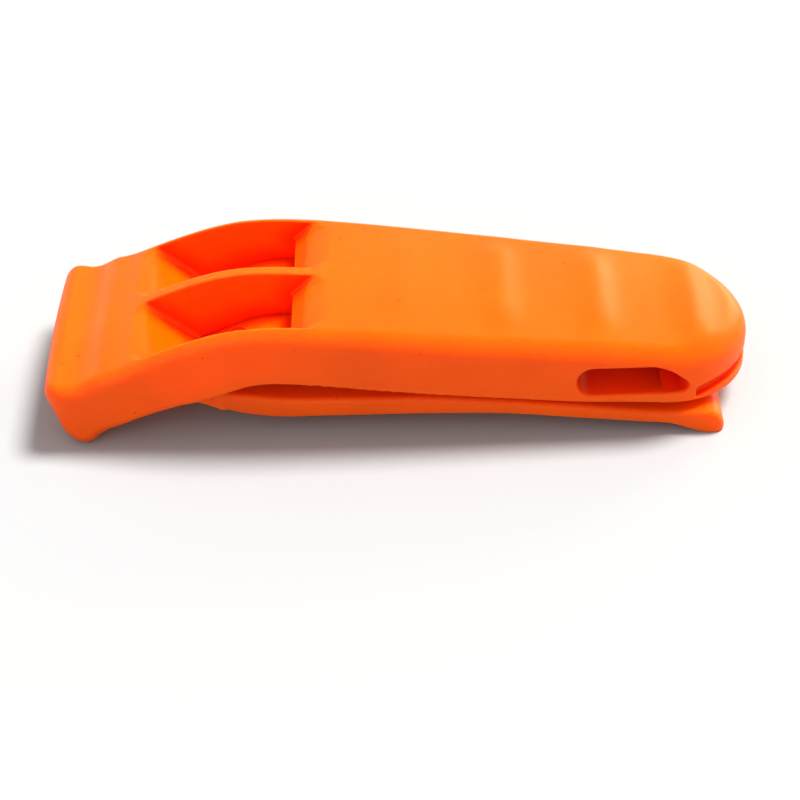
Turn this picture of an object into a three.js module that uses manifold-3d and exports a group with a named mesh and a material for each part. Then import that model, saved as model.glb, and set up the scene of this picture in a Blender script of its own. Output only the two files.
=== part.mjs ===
// Training whistle: a flat two-chamber pealess whistle with a belt clip moulded underneath.
// Millimetres, +Z up. It lies on its mouthpiece lip and its clip tip: mouthpiece towards -X,
// lanyard end towards +X, and y = 0 is the plane of the rib between the two windows.
import * as THREE from 'three';
import { mergeVertices } from 'three/addons/utils/BufferGeometryUtils.js';
import Module from 'manifold-3d';

const wasm = await Module();
wasm.setup();

// Overall body
const halfLength = 34;             // the footprint runs from -halfLength to +halfLength
const rearRadius = 9.4;            // the lanyard end is a half round in plan
const rearSweep = 1.45;            // radians of that half round on each side, up to a small flat
const rearCentreX = halfLength - rearRadius * Math.sin(rearSweep);
const rearFall = { crest: 0.1, keel: 0.06 };
const crownDrop = 0.75;            // the back is this much lower at its edges than along its crest
const backEdgeRound = 2.2;
const wall = 1.25;                 // side walls and middle rib

// Windows and labium (the edge that splits the air jet)
const rampFoot = { x: -19.5, z: 5.5 };
const rampSlope = 0.76;            // fall per millimetre towards the rear
const labiumEdge = { x: -10.3, z: 10.6 };
const labiumBevelSlope = 1.0;
const aboveEverything = 20;

// Tone chambers: two lengths give two notes
const nearChamberEndX = 15.5;
const farChamberEndX = 11.5;
const chamberCeilingFall = 0.064;  // fall per millimetre towards the rear

// Windways: each tapers from the mouth end to its exit at the foot of the ramp
const windwayMouth = { x: -35, z: 2.3, inner: 0.9, outer: 9.4, height: 2.3 };
const windwayExit = { x: -18.8, z: 6.2, inner: 3.0, outer: 8.6, height: 1.3 };

// Lanyard slot and the undercut round the lanyard end
const slotStartX = 16.85;
const slotEndX = 27.6;
const slotRadius = 1.5;
const slotAxisZ = 6.35;
const undercutStartX = 29.3;
const undercutTopZ = 5.6;
const undercutDepth = 0.4;

// Clip: a springy tongue joined to the base plate at its front end
const clipPivot = { x: -17.0, z: 4.3 };
const clipRootRadius = 0.85;
const clipRunningGap = 0.3;
const clipEndX = 31.4;
const clipTipZ = { top: 2.55, nose: 0.75 };

// Back-to-front rows that the outer skin runs through. Each row is one slanting section:
// crest point x, z, keel point x, z, and half of the width.
const skinRows = [
  [-halfLength, 6.0, -32.3, 0.9, 10.2],
  [-33.6, 6.85, -31.8, 0.1, 10.9],
  [-32.7, 7.2, -31.2, 0.0, 11.1],
  [-31.2, 7.25, -29.6, 0.0, 11.1],
  [-29.6, 7.85, -28.6, 0.85, 11.1],
  [-28.0, 8.4, -27.2, 1.65, 11.0],
  [-25.5, 9.35, -24.6, 2.75, 10.9],
  [-22.0, 10.95, -21.4, 3.9, 10.8],
  [-18.9, 12.1, -18.7, 4.5, 10.75],
  [-15.8, 12.85, -15.8, 6.1, 10.7],
  [-12.7, 13.05, -12.7, 7.05, 10.7],
  [-9.0, 12.95, -9.0, 7.05, 10.7],
  [-4.0, 12.6, -4.0, 6.45, 10.6],
  [3.0, 12.0, 3.0, 5.65, 10.4],
  [10.0, 11.4, 10.0, 4.9, 10.1],
  [17.0, 10.8, 17.0, 4.1, 9.75],
  [rearCentreX, 10.05, rearCentreX, 3.65, rearRadius],
];
const skinSectionsPerRow = 3;
const rearSections = 9;

// Bottom of both chambers, which is the upper face of the base plate
const floorLine = [
  [-19.5, 5.5], [-17.4, 6.4], [-16.1, 7.05], [-14.3, 7.75], [-12.7, 8.1], [-10.3, 8.2],
  [-6.5, 7.85], [0, 7.05], [10, 6.0], [15.5, 5.45], [16.9, 4.85], [26.5, 4.85],
];
const plateEnds = { front: -19.5, rear: 26.5 };

// ---------------------------------------------------------------- helpers

function solid(geometry) {
  const bare = geometry.index ? geometry.toNonIndexed() : geometry.clone();
  bare.deleteAttribute('normal');
  bare.deleteAttribute('uv');
  const merged = mergeVertices(bare, 1e-4);
  return new wasm.Manifold(new wasm.Mesh({
    numProp: 3,
    vertProperties: new Float32Array(merged.attributes.position.array),
    triVerts: new Uint32Array(merged.index.array),
  }));
}

function toGeometry(body) {
  const mesh = body.getMesh();
  const geometry = new THREE.BufferGeometry();
  geometry.setAttribute('position', new THREE.BufferAttribute(mesh.vertProperties, 3));
  geometry.setIndex(new THREE.BufferAttribute(mesh.triVerts, 1));
  const faceted = geometry.toNonIndexed();
  faceted.computeVertexNormals();
  return faceted;
}

function shapeOf(points) {
  return new THREE.Shape(points.map(([a, b]) => new THREE.Vector2(a, b)));
}

// A side-view outline (x, z) drawn out across the whistle from y = from to y = to.
function sideSolid(shape, from, to, curveSegments = 12) {
  const geometry = new THREE.ExtrudeGeometry(shape, {
    depth: to - from, bevelEnabled: false, curveSegments,
  });
  geometry.rotateX(Math.PI / 2);
  geometry.translate(0, to, 0);
  return solid(geometry);
}

// A top-view outline (x, y) drawn up from z = from to z = to.
function planSolid(shape, from, to, curveSegments = 12) {
  const geometry = new THREE.ExtrudeGeometry(shape, {
    depth: to - from, bevelEnabled: false, curveSegments,
  });
  geometry.translate(0, 0, from);
  return solid(geometry);
}

function circleZ(radius, centreX, from, to) {
  const geometry = new THREE.CylinderGeometry(radius, radius, to - from, 72);
  geometry.rotateX(Math.PI / 2);
  geometry.translate(centreX, 0, (from + to) / 2);
  return solid(geometry);
}

// Distance from the middle plane to the inside of the side walls
function innerHalf(x) {
  return 9.05 - 0.0268 * x;
}

// ---------------------------------------------------------------- outer skin

// Points round one section, starting at the middle of the back: [y, share of the height].
function sectionRing(halfWidth, height, edgeRound) {
  const round = Math.min(edgeRound, halfWidth * 0.6, height * 0.45);
  const keelRound = Math.min(0.5, halfWidth * 0.3);
  const flat = halfWidth - round;
  const half = [];
  for (let i = 0; i <= 5; i += 1) {
    const y = flat * i / 5;
    half.push([y, height - crownDrop * (y / halfWidth) ** 2]);
  }
  const shoulder = half[5][1];
  for (let i = 1; i <= 5; i += 1) {
    const turn = i / 5 * Math.PI / 2;
    half.push([flat + round * Math.sin(turn), shoulder - round * (1 - Math.cos(turn))]);
  }
  for (let i = 0; i <= 2; i += 1) {
    const turn = i / 2 * Math.PI / 2;
    half.push([
      halfWidth - keelRound * (1 - Math.cos(turn)),
      keelRound * (1 - Math.sin(turn)),
    ]);
  }
  const mirrored = half.slice(1).reverse().map(([y, n]) => [-y, n]);
  return [...half, ...mirrored];
}

function skinSections() {
  const column = (k) => new THREE.SplineCurve(
    skinRows.map((row, i) => new THREE.Vector2(i, row[k])),
  );
  const columns = skinRows[0].map((_, k) => column(k));
  const count = (skinRows.length - 1) * skinSectionsPerRow;
  const sections = [];
  for (let i = 0; i <= count; i += 1) {
    const section = columns.map((curve) => curve.getPoint(i / count).y);
    section[3] = Math.max(0, section[3]);
    sections.push(section);
  }
  const [, crestZ, , keelZ] = skinRows[skinRows.length - 1];
  for (let i = 1; i <= rearSections; i += 1) {
    const turn = i / rearSections * rearSweep;
    const along = rearRadius * Math.sin(turn);
    const x = rearCentreX + along;
    const past = Math.max(0, along - (rearRadius - backEdgeRound));
    const rounding = backEdgeRound - Math.sqrt(backEdgeRound ** 2 - past ** 2);
    const crest = crestZ - rearFall.crest * along - rounding;
    sections.push([x, crest, x, keelZ - rearFall.keel * along, rearRadius * Math.cos(turn)]);
  }
  return sections;
}

// The skin is a closed cylinder whose rings are moved onto the sections.
function skin() {
  const sections = skinSections().map(([crestX, crestZ, keelX, keelZ, halfWidth]) => {
    const height = Math.hypot(crestX - keelX, crestZ - keelZ);
    const ring = sectionRing(halfWidth, height, backEdgeRound);
    return ring.map(([y, n]) => {
      const share = n / height;
      return new THREE.Vector3(
        keelX + (crestX - keelX) * share, y, keelZ + (crestZ - keelZ) * share,
      );
    });
  });
  const around = sections[0].length;
  const geometry = new THREE.CylinderGeometry(1, 1, 1, around, sections.length - 1);
  const position = geometry.attributes.position;
  for (let i = 0; i < position.count; i += 1) {
    const px = position.getX(i);
    const pz = position.getZ(i);
    const ring = sections[Math.round((0.5 - position.getY(i)) * (sections.length - 1))];
    const turn = Math.atan2(px, pz) / (2 * Math.PI);
    const step = (Math.round(turn * around) + around) % around;
    const point = ring[step].clone();
    if (Math.hypot(px, pz) < 0.5) {
      point.set(0, 0, 0);
      ring.forEach((p) => point.addScaledVector(p, 1 / around));
    }
    position.setXYZ(i, point.x, point.y, point.z);
  }
  return solid(geometry);
}

// Four low thumb ridges across the back, the front one fainter than the rest
function ridges() {
  const spacing = 9.4;
  const rise = [0.15, 0.32, 0.32, 0.32];
  return rise.map((height, i) => {
    const x = 0.3 + spacing * i;
    const depth = 1.2;
    const geometry = new THREE.SphereGeometry(1, 24, 16);
    geometry.scale(2.6, 8.0, depth + height);
    geometry.rotateY(0.088);
    geometry.translate(x, 0, 12.24 - 0.087 * x - depth);
    return solid(geometry);
  });
}

// ---------------------------------------------------------------- hollows

// One side's share of a plan: a wedge between the middle rib and the side wall.
function sidePlan(fromX, toX, side) {
  const rib = side * wall / 2;
  return planSolid(shapeOf([
    [fromX, rib], [toX, rib], [toX, side * innerHalf(toX)], [fromX, side * innerHalf(fromX)],
  ]), -1, aboveEverything);
}

function windowCut(side) {
  const rampTopX = -27;
  const rampTopZ = rampFoot.z + rampSlope * (rampFoot.x - rampTopX);
  const bevelTopX = labiumEdge.x + (aboveEverything - labiumEdge.z) / labiumBevelSlope;
  const outline = shapeOf([
    [rampFoot.x, rampFoot.z], [rampFoot.x, 2], [labiumEdge.x, 2],
    [labiumEdge.x, labiumEdge.z], [bevelTopX, aboveEverything],
    [rampTopX, aboveEverything], [rampTopX, rampTopZ],
  ]);
  return sideSolid(outline, -15, 15).intersect(sidePlan(-27, 0, side));
}

function chamberCut(side, endX) {
  const ceilingAt = (x) => labiumEdge.z - chamberCeilingFall * (x - labiumEdge.x);
  const outline = shapeOf([
    [labiumEdge.x - 1, 2], [endX, 2], [endX, ceilingAt(endX)],
    [labiumEdge.x, labiumEdge.z], [labiumEdge.x - 1, labiumEdge.z],
  ]);
  return sideSolid(outline, -15, 15).intersect(sidePlan(-12, endX + 0.001, side));
}

function windwayCut(side) {
  const geometry = new THREE.BoxGeometry(1, 1, 1);
  const position = geometry.attributes.position;
  const { lerp } = THREE.MathUtils;
  for (let i = 0; i < position.count; i += 1) {
    const along = position.getX(i) + 0.5;
    const at = (key) => lerp(windwayMouth[key], windwayExit[key], along);
    const y = lerp(at('inner'), at('outer'), side * position.getY(i) + 0.5) * side;
    position.setXYZ(i, at('x'), y, at('z') + position.getZ(i) * at('height'));
  }
  return solid(geometry);
}

// The seat that the base plate is welded into, open underneath
function plateSpace(bottomLine) {
  const outline = [...floorLine, ...bottomLine];
  const plan = shapeOf([
    [plateEnds.front, -innerHalf(plateEnds.front)], [plateEnds.rear, -innerHalf(plateEnds.rear)],
    [plateEnds.rear, innerHalf(plateEnds.rear)], [plateEnds.front, innerHalf(plateEnds.front)],
  ]);
  return sideSolid(shapeOf(outline.reverse()), -15, 15)
    .intersect(planSolid(plan, -5, aboveEverything));
}

function slotCut() {
  const shape = new THREE.Shape();
  shape.absarc(slotStartX + slotRadius, slotAxisZ, slotRadius, Math.PI / 2, 1.5 * Math.PI, false);
  shape.absarc(slotEndX - slotRadius, slotAxisZ, slotRadius, -Math.PI / 2, Math.PI / 2, false);
  return sideSolid(shape, -15, 15);
}

function undercut() {
  const outer = circleZ(rearRadius + 3, rearCentreX, 0, undercutTopZ);
  const core = circleZ(rearRadius - undercutDepth, rearCentreX, -1, undercutTopZ + 1);
  const behind = planSolid(shapeOf([
    [undercutStartX, -15], [45, -15], [45, 15], [undercutStartX, 15],
  ]), -1, aboveEverything);
  return outer.subtract(core).intersect(behind);
}

// ---------------------------------------------------------------- the three mouldings

function bodyShell() {
  let body = skin();
  ridges().forEach((ridge) => { body = body.add(ridge); });
  const seat = plateSpace([[plateEnds.rear, -3], [plateEnds.front, -3]]);
  const cuts = [
    windowCut(1), windowCut(-1),
    chamberCut(1, farChamberEndX), chamberCut(-1, nearChamberEndX),
    windwayCut(1), windwayCut(-1),
    seat, slotCut(), undercut(),
  ];
  cuts.forEach((cut) => { body = body.subtract(cut); });
  return body;
}

function basePlate() {
  const underside = [
    [26.5, 3.6], [17, 4.1], [10, 4.9], [3, 5.65], [-4, 6.45], [-9, 7.05], [-12.7, 7.05],
    [-14.6, 6.5], [-16.3, 5.75], [-17.4, 5.6],
    ...clipSocket(),
    [-19.5, 4.35],
  ];
  return plateSpace(underside);
}

// The concave seat round the clip's root, from above the root round to its front
function clipSocket() {
  const radius = clipRootRadius + clipRunningGap;
  const points = [];
  for (let i = 0; i <= 6; i += 1) {
    const turn = (110 + i * 100 / 6) * Math.PI / 180;
    points.push([clipPivot.x + radius * Math.cos(turn), clipPivot.z + radius * Math.sin(turn)]);
  }
  return points;
}

function beltClip() {
  const shape = new THREE.Shape();
  const { x, z } = clipPivot;
  shape.absarc(x, z, clipRootRadius, 1.1, 1.5 * Math.PI, false);
  shape.splineThru([
    new THREE.Vector2(-15.2, 2.8), new THREE.Vector2(-12.5, 2.35),
    new THREE.Vector2(-6, 2.3), new THREE.Vector2(3, 2.45), new THREE.Vector2(10, 2.4),
    new THREE.Vector2(17, 1.85), new THREE.Vector2(23, 1.35), new THREE.Vector2(26.5, 1.0),
    new THREE.Vector2(28.2, 0.4), new THREE.Vector2(29.4, 0),
  ]);
  shape.lineTo(clipEndX - clipTipZ.nose, 0);
  shape.absarc(clipEndX - clipTipZ.nose, clipTipZ.nose, clipTipZ.nose, -Math.PI / 2, 0.3, false);
  shape.splineThru([
    new THREE.Vector2(30.7, 1.95), new THREE.Vector2(29.2, clipTipZ.top),
    new THREE.Vector2(26.5, 2.45), new THREE.Vector2(22, 2.65), new THREE.Vector2(17, 3.3),
    new THREE.Vector2(10, 3.95), new THREE.Vector2(3, 4.35), new THREE.Vector2(-5, 4.3),
    new THREE.Vector2(-12, 4.35), new THREE.Vector2(-14.5, 4.75),
  ]);
  const rootHalf = 9.3;
  const tipHalf = 9.1;
  const corner = 1.2;
  const plan = new THREE.Shape();
  plan.moveTo(-20, -rootHalf);
  plan.lineTo(clipEndX - corner, -tipHalf);
  plan.absarc(clipEndX - corner, -tipHalf + corner, corner, -Math.PI / 2, 0, false);
  plan.absarc(clipEndX - corner, tipHalf - corner, corner, 0, Math.PI / 2, false);
  plan.lineTo(-20, rootHalf);
  return sideSolid(shape, -12, 12, 6).intersect(planSolid(plan, -2, aboveEverything));
}

// ---------------------------------------------------------------- scene

const orange = '#ee6d12';
const plastic = (color) => new THREE.MeshStandardMaterial({ color, roughness: 0.42, metalness: 0 });

function named(name, body, material) {
  const mesh = new THREE.Mesh(toGeometry(body), material);
  mesh.name = name;
  return mesh;
}

const group = new THREE.Group();
group.add(named('body_shell', bodyShell(), plastic(orange)));
group.add(named('base_plate', basePlate(), plastic(orange)));
group.add(named('belt_clip', beltClip(), plastic(orange)));

export default group;
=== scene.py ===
"""Looks for the training whistle: smooth moulded surfaces, satin orange plastic, soft studio light.

The CAD nodes keep the sizes and the motion. Here each moulding is built again as one smooth closed
surface with moulded radii on its edges, within the CAD's outlines, in millimetres.
A moulding is a field: a function of x, y, z that is negative inside the plastic and close to the
distance from its surface. The field is meshed on a fine grid and its points are moved onto the surface.
"""

import math

import bpy
import numpy as np
from mathutils import Matrix, Vector


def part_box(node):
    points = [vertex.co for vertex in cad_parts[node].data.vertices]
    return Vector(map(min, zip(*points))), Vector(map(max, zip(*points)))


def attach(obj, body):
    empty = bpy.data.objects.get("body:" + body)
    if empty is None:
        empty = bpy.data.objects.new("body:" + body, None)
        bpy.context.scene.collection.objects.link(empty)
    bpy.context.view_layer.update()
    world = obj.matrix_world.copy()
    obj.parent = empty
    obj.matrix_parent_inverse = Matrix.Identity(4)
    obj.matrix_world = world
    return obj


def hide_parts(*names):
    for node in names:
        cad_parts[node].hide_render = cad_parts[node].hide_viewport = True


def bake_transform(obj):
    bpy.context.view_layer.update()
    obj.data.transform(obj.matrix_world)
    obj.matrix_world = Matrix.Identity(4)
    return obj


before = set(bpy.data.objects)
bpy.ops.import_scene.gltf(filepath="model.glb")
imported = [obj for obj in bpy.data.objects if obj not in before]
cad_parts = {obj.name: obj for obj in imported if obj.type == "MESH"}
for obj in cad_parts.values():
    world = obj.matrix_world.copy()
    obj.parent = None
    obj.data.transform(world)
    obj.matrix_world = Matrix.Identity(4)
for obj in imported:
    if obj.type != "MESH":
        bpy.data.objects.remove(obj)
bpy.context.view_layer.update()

MM = 0.001


# ---------------------------------------------------------------- tools for fields

def both(a, b, r):
    """Where both a and b hold, with a rounded edge of radius r between them."""
    corner = np.hypot(np.maximum(a + r, 0), np.maximum(b + r, 0))
    return np.minimum(np.maximum(a, b), -r) + corner


def either(a, b, r):
    """Where a or b holds, with a fillet of radius r between them."""
    return -both(-a, -b, r)


def through(points):
    """A smooth line through (x, value) points, level beyond its two ends."""
    px, pv = np.array(points, float).T
    slope = np.gradient(pv, px)

    def at(x):
        i = np.clip(np.searchsorted(px, x) - 1, 0, len(px) - 2)
        span = px[i + 1] - px[i]
        t = np.clip((x - px[i]) / span, 0, 1)
        ends = pv[i] * (1 + 2 * t) * (1 - t) ** 2 + pv[i + 1] * t * t * (3 - 2 * t)
        leans = slope[i] * t * (1 - t) ** 2 + slope[i + 1] * t * t * (t - 1)
        return ends + span * leans
    return at


def under(line, x, z):
    """Signed distance from a side-view line: negative below it."""
    step = 0.05
    lean = (line(x + step) - line(x - step)) / (2 * step)
    return (z - line(x)) / np.hypot(1, lean)


def above(line, x, z):
    """Negative above a side-view line."""
    return -under(line, x, z)


def dimple(x, y, centre, radius, depth_field, depth):
    """A round flat-bottomed mark, sunk depth into the surface that depth_field measures from."""
    ring = np.hypot(x - centre[0], y - centre[1]) - radius
    return np.maximum(ring, -depth_field - depth)


# ---------------------------------------------------------------- dimensions, in millimetres

HALF_LENGTH = 34.0
REAR_RADIUS = 9.4
REAR_X = HALF_LENGTH - REAR_RADIUS
WALL = 1.25

CREST = through([
    (-34.4, 5.95), (-33.9, 6.4), (-33.4, 6.82), (-32.9, 7.1), (-32.4, 7.22), (-31.8, 7.2),
    (-31.1, 7.12), (-30.4, 7.2), (-29.6, 7.55), (-28.8, 8.05), (-28.2, 8.35), (-27.5, 8.55),
    (-26.6, 8.85), (-25.0, 9.6), (-22.0, 10.95), (-18.9, 12.1), (-15.8, 12.82), (-12.7, 13.02),
    (-9.0, 12.93), (-4.0, 12.6), (3.0, 12.0), (10.0, 11.35), (17.0, 10.7), (24.8, 9.88),
    (29.5, 9.35), (34.0, 8.6),
])
KEEL = through([
    (-34, 0.0), (-31.0, 0.0), (-30.2, 0.0), (-29.7, 0.04), (-29.1, 0.35), (-28.5, 0.95),
    (-27.9, 1.4), (-26.8, 1.87),
    (-24.6, 2.85), (-22.7, 3.6), (-20.7, 4.3), (-18.7, 4.85), (-17.4, 5.4), (-15.8, 6.1),
    (-14.3, 6.7), (-12.7, 7.03), (-10.8, 7.1), (-9.0, 7.03), (-4.0, 6.45), (3.0, 5.65),
    (10.0, 4.9), (17.0, 4.1), (24.8, 3.65), (29.0, 3.3), (34.0, 2.95),
])
HALF_WIDTH = through([
    (-34, 11.1), (-31, 11.1), (-28, 11.0), (-25, 10.9), (-22, 10.8), (-12.7, 10.7), (-9, 10.7),
    (-4, 10.6), (3, 10.4), (10, 10.1), (17, 9.75), (REAR_X, REAR_RADIUS),
])
CROWN = through([(-34, 0.3), (-29, 0.4), (-20, 0.5), (-12, 0.3), (3, 0.4), (24, 0.5), (34, 0.5)])
BACK_ROUND = through([(-34, 1.1), (-29, 1.2), (-20, 1.4), (0, 1.6), (24, 1.8), (34, 2.1)])
KEEL_ROUND = through([(-34, 1.7), (-28, 1.4), (-21, 1.0), (-16, 0.5), (24, 0.45), (34, 0.5)])

MOUTH_TOP = (-34.12, 6.0)
MOUTH_BOTTOM = (-32.3, 0.9)
MOUTH_HALF = 11
MOUTH_BOW = 0.3
MOUTH_CORNER = 1.9

RIDGE_X = [0.3, 9.7, 19.1, 28.5]
RIDGE_RISE = [0.16, 0.42, 0.45, 0.45]
RIDGE_HALF_LENGTH = 1.75
RIDGE_HALF_WIDTH = 6.7

RAMP_FOOT = (-19.5, 5.5)
RAMP_SLOPE = 0.76
RAMP_CORNER = 0.55
LABIUM = (-10.3, 10.6)
LABIUM_OVERLAP = 0.6
LABIUM_EDGE = 0.25
BEVEL_SLOPE = 1.0
CHAMBER_END = {"near": 15.5, "far": 11.5}
CEILING_FALL = 0.064
CEILING_CORNER = 0.4
CHAMBER_CORNER = 0.5

WINDOW_RIM = 0.22
EDGE_FADE = 1.2
WINDOW_EDGE = through([(-25, 0.8), (-21, 0.6), (-18, 0), (-10.5, 0), (-9.3, 0.8), (-6, 0.9)])

WINDWAY_MOUTH = {"x": -35.0, "z": 2.3, "inner": 0.9, "outer": 9.4, "height": 2.3}
WINDWAY_EXIT = {"x": -18.8, "z": 6.2, "inner": 3.0, "outer": 8.6, "height": 1.3}
WINDWAY_CORNER = 0.35

SLOT = {"start": 16.85, "end": 28.3, "z": 6.35, "radius": 1.5}
SLOT_SLANT = ((25.2, 7.85), (28.1, 5.3))
SLOT_SLANT_CORNER = 0.9
SLOT_EDGE = 0.35
GROOVE_LINE = through([(28.2, 4.35), (29.5, 4.6), (31.0, 4.75), (32.5, 4.8), (34, 4.8)])
GROOVE = {"x": 28.4, "height": 1.1, "depth": 0.75}

PLATE = (-19.5, 26.5)
PLATE_HELD = 0.35
PLATE_PROUD = 0.03
MARK = {"x": -15.9, "y": 2.3, "radius": 1.05, "depth": 0.3}
FLOOR = through([
    (-19.5, 5.5), (-17.4, 6.4), (-16.1, 7.05), (-14.3, 7.75), (-12.7, 8.1), (-10.3, 8.2),
    (-6.5, 7.85), (0, 7.05), (10, 6.0), (15.5, 5.45), (16.9, 4.85), (26.5, 4.85),
])
PLATE_BOTTOM = through([
    (-19.5, 4.75), (-17.4, 5.55), (-15.8, 6.15), (-14.3, 6.6), (-12.7, 6.95), (-9, 6.98),
    (-4, 6.4), (3, 5.6), (10, 4.85), (17, 4.05), (26.5, 3.55),
])

CLIP_TOP = through([
    (-19.5, 5.6), (-16.6, 5.05), (-14.5, 4.72), (-12, 4.4), (-5, 4.3), (3, 4.32), (10, 3.92),
    (17, 3.27), (22, 2.72), (26.5, 2.42), (28.6, 2.5), (29.8, 2.4), (30.8, 1.9), (31.4, 1.2),
])
CLIP_BOTTOM = through([
    (-19.5, 4.4), (-18.4, 3.98), (-16.8, 3.3), (-15.2, 2.75), (-12.5, 2.3), (-6, 2.3),
    (3, 2.45), (10, 2.4), (17, 1.85), (23, 1.35), (26.5, 1.0), (28.2, 0.4), (29.4, 0.02),
    (30.4, 0.0), (31.4, 0.0),
])
CLIP_HALF = through([(-19.5, 9.28), (0, 9.2), (31.4, 9.15)])
CLIP_END = 31.4
CLIP_CORNER = 0.9
CLIP_ROOT_END = -16.9
CLIP_ROOT_GAP = 0.45
CLIP_ROOT_TOP = 7.5
CLIP_GAP = 0.06


def inner_half(x):
    """Distance from the middle plane to the inside of the side walls."""
    return 9.05 - 0.0268 * x


# ---------------------------------------------------------------- the body shell

def ridges(x, y):
    """Low thumb ridges across the back that fade out before its edges."""
    total = 0.0
    for centre, rise in zip(RIDGE_X, RIDGE_RISE):
        total = total + rise * np.exp(-((x - centre) / RIDGE_HALF_LENGTH) ** 2)
    return total / (1 + (np.abs(y) / RIDGE_HALF_WIDTH) ** 8)


def side_distance(x, y):
    """Distance outside the plan outline: two long sides and a half-round lanyard end."""
    long_sides = np.abs(y) - HALF_WIDTH(x)
    round_end = np.hypot(x - REAR_X, y) - REAR_RADIUS
    return np.where(x < REAR_X, long_sides, round_end)


def skin(x, y, z):
    """The outside of the whistle, without its hollows."""
    mouth_dx = MOUTH_BOTTOM[0] - MOUTH_TOP[0]
    mouth_dz = MOUTH_TOP[1] - MOUTH_BOTTOM[1]
    length = math.hypot(mouth_dx, mouth_dz)
    bow = MOUTH_BOW * (y / MOUTH_HALF) ** 2
    mouth = ((MOUTH_TOP[0] + bow - x) * mouth_dz + (MOUTH_TOP[1] - z) * mouth_dx) / length
    across = CROWN(x) * (y / HALF_WIDTH(x)) ** 2 - ridges(x, y)
    back = under(CREST, x, z + across)
    keel = above(KEEL, x, z)
    body = both(side_distance(x, y), mouth, MOUTH_CORNER)
    body = both(body, back, BACK_ROUND(x))
    return both(body, keel, KEEL_ROUND(x))


def window_walls(x, y):
    """Negative between the middle rib and either side wall."""
    return np.maximum(WALL / 2 - np.abs(y), np.abs(y) - inner_half(x))


def window(x, y, z):
    """Both windows: side walls, ramp, and the bevelled labium at the back."""
    ramp = (RAMP_FOOT[1] + RAMP_SLOPE * (RAMP_FOOT[0] - x) - z) / math.hypot(1, RAMP_SLOPE)
    bevel = ((x - LABIUM[0]) * BEVEL_SLOPE - (z - LABIUM[1])) / math.hypot(1, BEVEL_SLOPE)
    front = both(window_walls(x, y), ramp, RAMP_CORNER)
    return both(front, np.minimum(x - LABIUM[0], bevel), LABIUM_EDGE)


def chambers(x, y, z):
    """The two tone chambers, open below, where the base plate closes them."""
    ceiling = LABIUM[1] - CEILING_FALL * (x - LABIUM[0])
    end = np.where(y < 0, CHAMBER_END["near"], CHAMBER_END["far"])
    tube = both(window_walls(x, y), z - ceiling, CEILING_CORNER)
    return np.maximum(both(tube, x - end, CHAMBER_CORNER), LABIUM[0] - LABIUM_OVERLAP - x)


def windways(x, y, z):
    """The two flat air passages, which narrow from the mouth to the windows."""
    along = (x - WINDWAY_MOUTH["x"]) / (WINDWAY_EXIT["x"] - WINDWAY_MOUTH["x"])
    at = {key: WINDWAY_MOUTH[key] + along * (WINDWAY_EXIT[key] - WINDWAY_MOUTH[key])
          for key in WINDWAY_MOUTH}
    flat = np.abs(z - at["z"]) - at["height"] / 2
    wide = np.maximum(at["inner"] - np.abs(y), np.abs(y) - at["outer"])
    return np.maximum(both(flat, wide, WINDWAY_CORNER), x - WINDWAY_EXIT["x"])


def lanyard_slot(x, z):
    """A round-ended slot right through the whistle, with one corner cut aslant."""
    low, high = SLOT["start"] + SLOT["radius"], SLOT["end"] - SLOT["radius"]
    nearest = np.clip(x, low, high)
    hole = np.hypot(x - nearest, z - SLOT["z"]) - SLOT["radius"]
    (xa, za), (xb, zb) = SLOT_SLANT
    slant = ((x - xa) * (za - zb) + (z - za) * (xb - xa)) / math.hypot(xb - xa, za - zb)
    return both(hole, slant, SLOT_SLANT_CORNER)


def plate_seat(x, y, z):
    """The recess in the underside that the base plate fills."""
    ends = np.maximum(PLATE[0] - x, x - PLATE[1])
    return np.maximum(np.maximum(np.abs(y) - inner_half(x), ends), under(FLOOR, x, z))


def rear_groove(x, y, z):
    """A shallow groove round the lanyard end."""
    inside = REAR_RADIUS - GROOVE["depth"] - np.hypot(x - REAR_X, y)
    tall = np.abs(z - GROOVE_LINE(x)) - GROOVE["height"] / 2
    return both(np.maximum(inside, GROOVE["x"] - x), tall, 0.2)


def body_shell(x, y, z):
    """The upper moulding. WINDOW_EDGE rounds the window's ends, and fades out towards its walls."""
    off_walls = np.clip(-window_walls(x, y) / EDGE_FADE, 0, 1)
    body = both(skin(x, y, z), -window(x, y, z), WINDOW_RIM + WINDOW_EDGE(x) * off_walls)
    body = both(body, -chambers(x, y, z), 0.07)
    body = both(body, -windways(x, y, z), 0.18)
    body = both(body, -lanyard_slot(x, z), SLOT_EDGE)
    body = np.maximum(body, -plate_seat(x, y, z))
    return both(body, -rear_groove(x, y, z), 0.18)


# ---------------------------------------------------------------- the base plate and the clip

def base_plate(x, y, z):
    """The floor of the chambers. Its edges run into the shell, so that no seam shows."""
    ends = np.maximum(PLATE[0] - PLATE_HELD - x, x - PLATE[1] - PLATE_HELD)
    top = under(FLOOR, x, z) - PLATE_PROUD
    plan = np.maximum(np.abs(y) - inner_half(x) - PLATE_HELD, ends)
    plate = both(plan, np.maximum(top, above(PLATE_BOTTOM, x, z)), 0.08)
    for side in (-1, 1):
        centre = (MARK["x"], MARK["y"] * side)
        mark = dimple(x, y, centre, MARK["radius"], top, MARK["depth"])
        plate = both(plate, -mark, 0.08)
    return plate


def belt_clip(x, y, z):
    """The tongue with its down-turned tip, and the root that joins it to the base plate."""
    plan = both(np.abs(y) - CLIP_HALF(x), x - CLIP_END, CLIP_CORNER)
    top = under(CLIP_TOP, x, z)
    bottom = above(CLIP_BOTTOM, x, z)
    tongue = both(both(plan, top, 0.5), bottom, 0.2)
    root = both(np.abs(y) - CLIP_HALF(x), np.maximum(x - CLIP_ROOT_END, bottom), 0.4)
    root = np.maximum(root, under(FLOOR, x, z) + CLIP_ROOT_GAP)
    body = either(tongue, root, 0.9)
    return np.maximum(body, PLATE[0] + CLIP_GAP - x)


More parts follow.
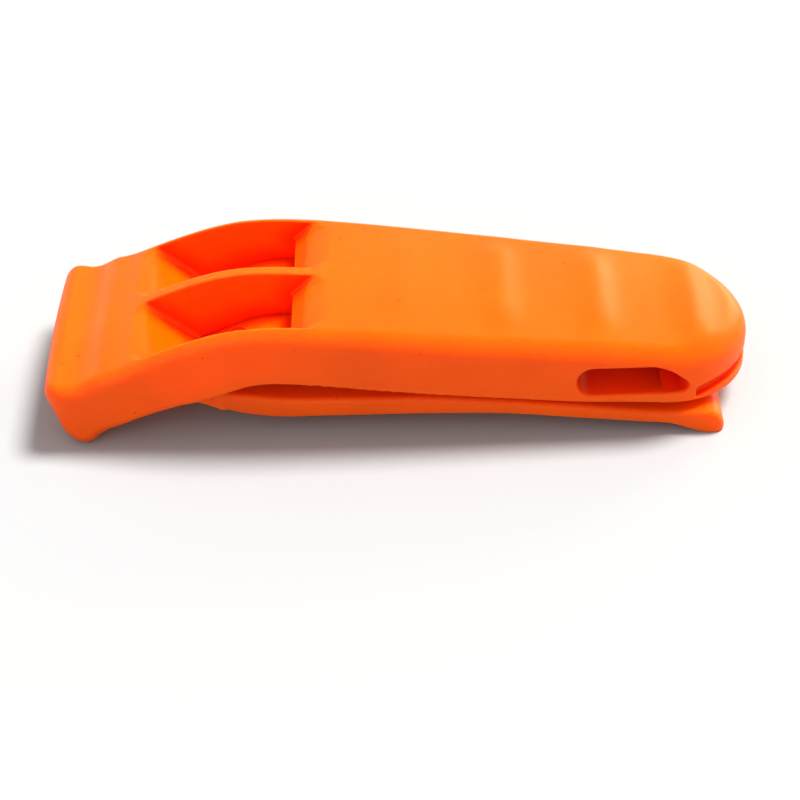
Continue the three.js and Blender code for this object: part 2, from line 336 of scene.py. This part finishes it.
# ---------------------------------------------------------------- meshing a field

def cell_corners(values):
    """The eight corner values of every grid cell."""
    return [values[i:values.shape[0] - 1 + i, j:values.shape[1] - 1 + j, k:values.shape[2] - 1 + k]
            for i in (0, 1) for j in (0, 1) for k in (0, 1)]


def surface_points(values, axes):
    """One point for each grid cell that the surface passes through, and the cells' numbers."""
    corners = cell_corners(values)
    inside = sum((c < 0).astype(np.uint8) for c in corners)
    cells = np.argwhere((inside > 0) & (inside < 8))
    offsets = np.array([(i, j, k) for i in (0, 1) for j in (0, 1) for k in (0, 1)])
    held = np.stack([c[tuple(cells.T)] for c in corners], 1)
    total = np.zeros((len(cells), 3))
    count = np.zeros(len(cells))
    for a in range(8):
        for b in range(a + 1, 8):
            if np.abs(offsets[a] - offsets[b]).sum() != 1:
                continue
            crossed = (held[:, a] < 0) != (held[:, b] < 0)
            share = np.where(crossed, held[:, a] / np.where(crossed, held[:, a] - held[:, b], 1), 0)
            point = offsets[a] + share[:, None] * (offsets[b] - offsets[a])
            total += point * crossed[:, None]
            count += crossed
    local = total / count[:, None]
    start = np.array([axis[0] for axis in axes])
    step = np.array([axis[1] - axis[0] for axis in axes])
    number = np.full(inside.shape, -1, np.int32)
    number[tuple(cells.T)] = np.arange(len(cells))
    return start + (cells + local) * step, number


def surface_quads(values, number):
    """A four-sided face for each grid edge that the surface crosses, facing out."""
    quads = []
    for axis in range(3):
        others = [a for a in range(3) if a != axis]
        low = [slice(None)] * 3
        high = [slice(None)] * 3
        low[axis], high[axis] = slice(None, -1), slice(1, None)
        first, second = values[tuple(low)] < 0, values[tuple(high)] < 0
        edges = np.argwhere(first != second)
        keep = np.all(edges[:, others] > 0, 1)
        keep &= edges[:, others[0]] < number.shape[others[0]]
        keep &= edges[:, others[1]] < number.shape[others[1]]
        edges = edges[keep]
        ring = []
        for da, db in ((-1, -1), (0, -1), (0, 0), (-1, 0)):
            cell = edges.copy()
            cell[:, others[0]] += da
            cell[:, others[1]] += db
            ring.append(number[tuple(cell.T)])
        quad = np.stack(ring, 1)
        leaves = first[tuple(edges.T)]
        turn = leaves if axis != 1 else ~leaves
        quad[~turn] = quad[~turn][:, ::-1]
        quads.append(quad)
    return np.concatenate(quads)


def gradient(field, points):
    """The slope of the field at each point, by small steps."""
    step = 0.02
    parts = []
    for axis in range(3):
        shift = np.zeros(3)
        shift[axis] = step
        ahead, back = (points + shift).T, (points - shift).T
        parts.append((field(*ahead) - field(*back)) / (2 * step))
    return np.stack(parts, 1)


def settle(field, points, reach, rounds=3):
    """Moves points onto the surface, no further than reach in each round."""
    for _ in range(rounds):
        slope = gradient(field, points)
        steep = np.maximum((slope ** 2).sum(1), 0.25)
        move = slope * (field(*points.T) / steep)[:, None]
        size = np.maximum(np.linalg.norm(move, axis=1), 1e-9)
        points = points - move * np.minimum(1, reach / size)[:, None]
    return points


def moulding(name, field, low, high, step, faces):
    """A closed smooth mesh of a field, thinned to about that many triangles."""
    axes = [np.arange(a, b + step, step) for a, b in zip(low, high)]
    x, y, z = np.meshgrid(*axes, indexing="ij", sparse=True)
    values = np.asarray(field(x, y, z))
    points, number = surface_points(values, axes)
    points = settle(field, points, step / 2)
    quads = surface_quads(values, number)
    mesh = bpy.data.meshes.new(name)
    mesh.from_pydata((points * MM).tolist(), [], quads.tolist())
    piece = bpy.data.objects.new(name, mesh)
    bpy.context.collection.objects.link(piece)
    if 2 * len(quads) > faces:
        thin(piece, faces / (2 * len(quads)))
    polish(piece, field)
    return piece


def thin(piece, ratio):
    """Replaces the piece's mesh by one with that share of its triangles."""
    modifier = piece.modifiers.new("thin", "DECIMATE")
    modifier.ratio = ratio
    evaluated = piece.evaluated_get(bpy.context.evaluated_depsgraph_get())
    mesh = bpy.data.meshes.new_from_object(evaluated)
    piece.modifiers.clear()
    mesh.name = piece.name
    piece.data = mesh


def polish(piece, field):
    """Points back onto the surface, shading that follows the field, and masks for edge wear and for
    painted shade in recesses.
    """
    mesh = piece.data
    points = np.empty(len(mesh.vertices) * 3)
    mesh.vertices.foreach_get("co", points)
    points = settle(field, points.reshape(-1, 3) / MM, 0.05, rounds=2)
    mesh.vertices.foreach_set("co", (points * MM).ravel())
    mesh.shade_smooth()
    slope = gradient(field, points)
    normals = slope / np.maximum(np.linalg.norm(slope, axis=1), 1e-9)[:, None]
    mesh.normals_split_custom_set_from_vertices(normals.tolist())
    edge = mesh.attributes.new("edge", "FLOAT", "POINT")
    edge.data.foreach_set("value", sharpness(field, points, normals))
    # Mask for painted shade: how closely plastic faces each point, which the material uses to paint
    # recesses darker red.
    hollow_shade = mesh.attributes.new("hollow_shade", "FLOAT", "POINT")
    hollow_shade.data.foreach_set("value", hollow_shade_mask(field, points, normals))
    mesh.update()


def sharpness(field, points, normals):
    """0 on flat plastic and in hollows, up to 1 on outer edges: how far the surface bends away."""
    reach = 0.3
    ahead = np.cross(normals, (0.31, 0.52, 0.79))
    ahead /= np.maximum(np.linalg.norm(ahead, axis=1), 1e-6)[:, None]
    aside = np.cross(normals, ahead)
    drop = 0
    for way in (ahead, -ahead, aside, -aside):
        drop = drop + np.clip(field(*(points + reach * way).T) / reach, -1, 1)
    gain, threshold = 0.9, 0.15
    return np.clip(drop * gain - threshold, 0, 1)


def hollow_shade_mask(field, points, normals):
    """A mask for painted shade in recesses: 0 in the open, up to 1 where plastic of the same body faces
    the point from close by.

    The other body counts for less, because it moves away when the clip opens.
    """
    reach = 2.4
    ahead = (points + reach * normals).T
    other_share = 0.2
    own = np.minimum(body_shell(*ahead), base_plate(*ahead))
    other = belt_clip(*ahead)
    if field is belt_clip:
        own, other = other, own
    return np.clip(np.maximum(1 - own / reach, other_share * (1 - other / reach)), 0, 1)


# ---------------------------------------------------------------- materials

def noise(tree, place, scale, detail):
    """Noise in the object's own coordinates, in metres."""
    node = tree.nodes.new("ShaderNodeTexNoise")
    node.inputs["Scale"].default_value = scale
    node.inputs["Detail"].default_value = detail
    tree.links.new(place.outputs["Object"], node.inputs["Vector"])
    return node.outputs["Fac"]


def ramp(tree, factor, stops):
    """Colours over a factor, from (position, colour) stops."""
    node = tree.nodes.new("ShaderNodeValToRGB")
    elements = node.color_ramp.elements
    while len(elements) < len(stops):
        elements.new(0.5)
    for element, (position, colour) in zip(elements, stops):
        element.position = position
        element.color = (*colour, 1)
    tree.links.new(factor, node.inputs["Fac"])
    return node.outputs["Color"]


def mixed(tree, factor, first, second):
    """The first colour where the factor is 0 and the second where it is 1."""
    node = tree.nodes.new("ShaderNodeMix")
    node.data_type = "RGBA"
    tree.links.new(factor, node.inputs[0])
    tree.links.new(first, node.inputs[6])
    tree.links.new(second, node.inputs[7])
    return node.outputs[2]


def span(tree, factor, low, high):
    """A factor of 0 to 1 spread from low to high."""
    node = tree.nodes.new("ShaderNodeMapRange")
    node.inputs["To Min"].default_value = low
    node.inputs["To Max"].default_value = high
    tree.links.new(factor, node.inputs["Value"])
    return node.outputs["Result"]


def orange_plastic(name, colour):
    """Satin moulded ABS: flow mottling, fine grain, paler outer edges, painted shade that makes
    recesses a darker, deeper red, a few specks.
    """
    material = bpy.data.materials.new(name)
    material.use_nodes = True
    tree = material.node_tree
    shader = tree.nodes["Principled BSDF"]
    shader.inputs["IOR"].default_value = 1.5
    shader.inputs["Specular IOR Level"].default_value = 0.12
    shader.inputs["Subsurface Weight"].default_value = 0.6
    shader.inputs["Subsurface Radius"].default_value = (1.0, 0.15, 0.05)
    shader.inputs["Subsurface Scale"].default_value = 0.0018
    place = tree.nodes.new("ShaderNodeTexCoord")
    deep = [c * 0.9 for c in colour]
    flow = ramp(tree, noise(tree, place, 90, 4), [(0.35, deep), (0.65, colour)])
    edge = tree.nodes.new("ShaderNodeAttribute")
    edge.attribute_name = "edge"
    rubbed_colour = (min(1, colour[0] * 1.03), colour[1] * 1.25, colour[2] + 0.004)
    rubbed = ramp(tree, noise(tree, place, 700, 3), [(0.3, colour), (0.6, rubbed_colour)])
    worn = mixed(tree, edge.outputs["Fac"], flow, rubbed)
    # Painted shade: recesses and the gaps between parts are painted a darker, deeper red, standing in
    # for their shade and red inter-reflection.
    hollow_shade = tree.nodes.new("ShaderNodeAttribute")
    hollow_shade.attribute_name = "hollow_shade"
    painted_shade_red = ramp(tree, noise(tree, place, 90, 4), [(0.35, (1.0, 0.012, 0.0)), (0.65, (1.0, 0.024, 0.0))])
    with_painted_shade = mixed(tree, hollow_shade.outputs["Fac"], worn, painted_shade_red)
    black, white = (0, 0, 0), (1, 1, 1)
    speck = ramp(tree, noise(tree, place, 1500, 0), [(0.0, white), (0.13, white), (0.175, black)])
    dirt = ramp(tree, noise(tree, place, 40, 1), [(0.4, (0.66, 0.04, 0.0)), (0.6, (0.8, 0.06, 0.0))])
    tree.links.new(mixed(tree, speck, with_painted_shade, dirt), shader.inputs["Base Color"])
    tree.links.new(span(tree, noise(tree, place, 260, 5), 0.34, 0.5), shader.inputs["Roughness"])
    grain = tree.nodes.new("ShaderNodeBump")
    grain.inputs["Strength"].default_value = 0.35
    grain.inputs["Distance"].default_value = 0.00003
    tree.links.new(noise(tree, place, 2600, 3), grain.inputs["Height"])
    sink = tree.nodes.new("ShaderNodeBump")
    sink.inputs["Strength"].default_value = 0.25
    sink.inputs["Distance"].default_value = 0.0001
    tree.links.new(noise(tree, place, 170, 1), sink.inputs["Height"])
    tree.links.new(grain.outputs["Normal"], sink.inputs["Normal"])
    tree.links.new(sink.outputs["Normal"], shader.inputs["Normal"])
    return material


# ---------------------------------------------------------------- pieces

ORANGE = (0.9, 0.09, 0.0)
TRIANGLES = 170000
STEP = 0.16

plastic = orange_plastic("orange_plastic", ORANGE)


def piece_from(name, field, node, step, faces):
    """One moulding, made round its CAD node's box, that takes the node's place."""
    low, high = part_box(node)
    room = 3 * step
    low = [v / MM - room for v in low]
    high = [v / MM + room for v in high]
    if field is belt_clip:  # its root reaches up into the base plate, past the CAD node's box
        low[0] = PLATE[0] - room
        high[2] = CLIP_ROOT_TOP
    piece = moulding(name, field, low, high, step, faces)
    piece.data.materials.append(plastic)
    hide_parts(node)
    return piece


shell = piece_from("shell", body_shell, "body_shell", STEP, TRIANGLES)
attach(shell, "whistle")

base = piece_from("base", base_plate, "base_plate", STEP, TRIANGLES // 3)
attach(base, "whistle")

clip = piece_from("clip", belt_clip, "belt_clip", STEP, TRIANGLES // 2)
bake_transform(clip)


# ---------------------------------------------------------------- stage, light and camera

def flat_material(name, colour, roughness):
    material = bpy.data.materials.new(name)
    material.use_nodes = True
    shader = material.node_tree.nodes["Principled BSDF"]
    shader.inputs["Base Color"].default_value = (*colour, 1)
    shader.inputs["Roughness"].default_value = roughness
    return material


def floor():
    """A plain pale table top, wide enough to reach the horizon."""
    reach = 6.0
    corners = [(-reach, -reach, 0), (reach, -reach, 0), (reach, reach, 0), (-reach, reach, 0)]
    mesh = bpy.data.meshes.new("floor")
    mesh.from_pydata(corners, [], [(0, 1, 2, 3)])
    sheet = bpy.data.objects.new("floor", mesh)
    bpy.context.collection.objects.link(sheet)
    mesh.materials.append(flat_material("floor_white", (0.36, 0.36, 0.36), 0.8))


def aimed(name, light, place, aim):
    holder = bpy.data.objects.new(name, light)
    bpy.context.collection.objects.link(holder)
    holder.location = place
    direction = Vector(aim) - Vector(place)
    holder.rotation_euler = direction.to_track_quat("-Z", "Y").to_euler()
    return holder


def key_light(place, strength, spread):
    """A large soft light far above. It is kept out of reflections, so the back shows no hot spot."""
    light = bpy.data.lights.new("key", "SUN")
    light.energy = strength
    light.angle = math.radians(spread)
    aimed("key", light, place, (0, 0, 0)).visible_glossy = False


def lamp(name, place, size, power, colour=(1, 1, 1)):
    light = bpy.data.lights.new(name, "AREA")
    light.color = colour
    light.shape = "DISK"
    light.size = size
    light.energy = power
    aimed(name, light, place, (0, 0, 0))


def world_light(strength):
    world = bpy.data.worlds.new("studio")
    world.use_nodes = True
    background = world.node_tree.nodes["Background"]
    background.inputs["Color"].default_value = (1, 1, 1, 1)
    background.inputs["Strength"].default_value = strength
    bpy.context.scene.world = world


def camera(elevation, yaw, aim, distance, lens):
    """A camera that looks at aim, with no roll. yaw is to the left of +Y, in degrees."""
    e, p = math.radians(elevation), math.radians(yaw)
    ahead = Vector((-math.sin(p) * math.cos(e), math.cos(p) * math.cos(e), -math.sin(e)))
    right = Vector((math.cos(p), math.sin(p), 0))
    up = right.cross(ahead)
    data = bpy.data.cameras.new("camera")
    data.lens = lens
    data.sensor_width = 36
    data.clip_start = 0.01
    holder = bpy.data.objects.new("camera", data)
    bpy.context.collection.objects.link(holder)
    place = Vector(aim) - ahead * distance
    turn = Matrix((right, up, -ahead)).transposed().to_4x4()
    holder.matrix_world = Matrix.Translation(place) @ turn
    bpy.context.scene.camera = holder


WARM = (1.0, 0.8, 0.45)

floor()
world_light(0.7)
key_light((0.22, 0.13, 0.51), 6.9, 22)
lamp("sheen", (0.31, 0.43, 0.14), 0.3, 2.0, WARM)
lamp("rim", (-0.34, 0.44, 0.05), 0.12, 0.18, WARM)
lamp("fill", (-0.25, -0.45, 0.3), 0.4, 0.6)
camera(36.5, -0.5, (0.000122, -0.003586, 0), 0.22155, 101.25)

bpy.context.scene.view_settings.view_transform = "Standard"
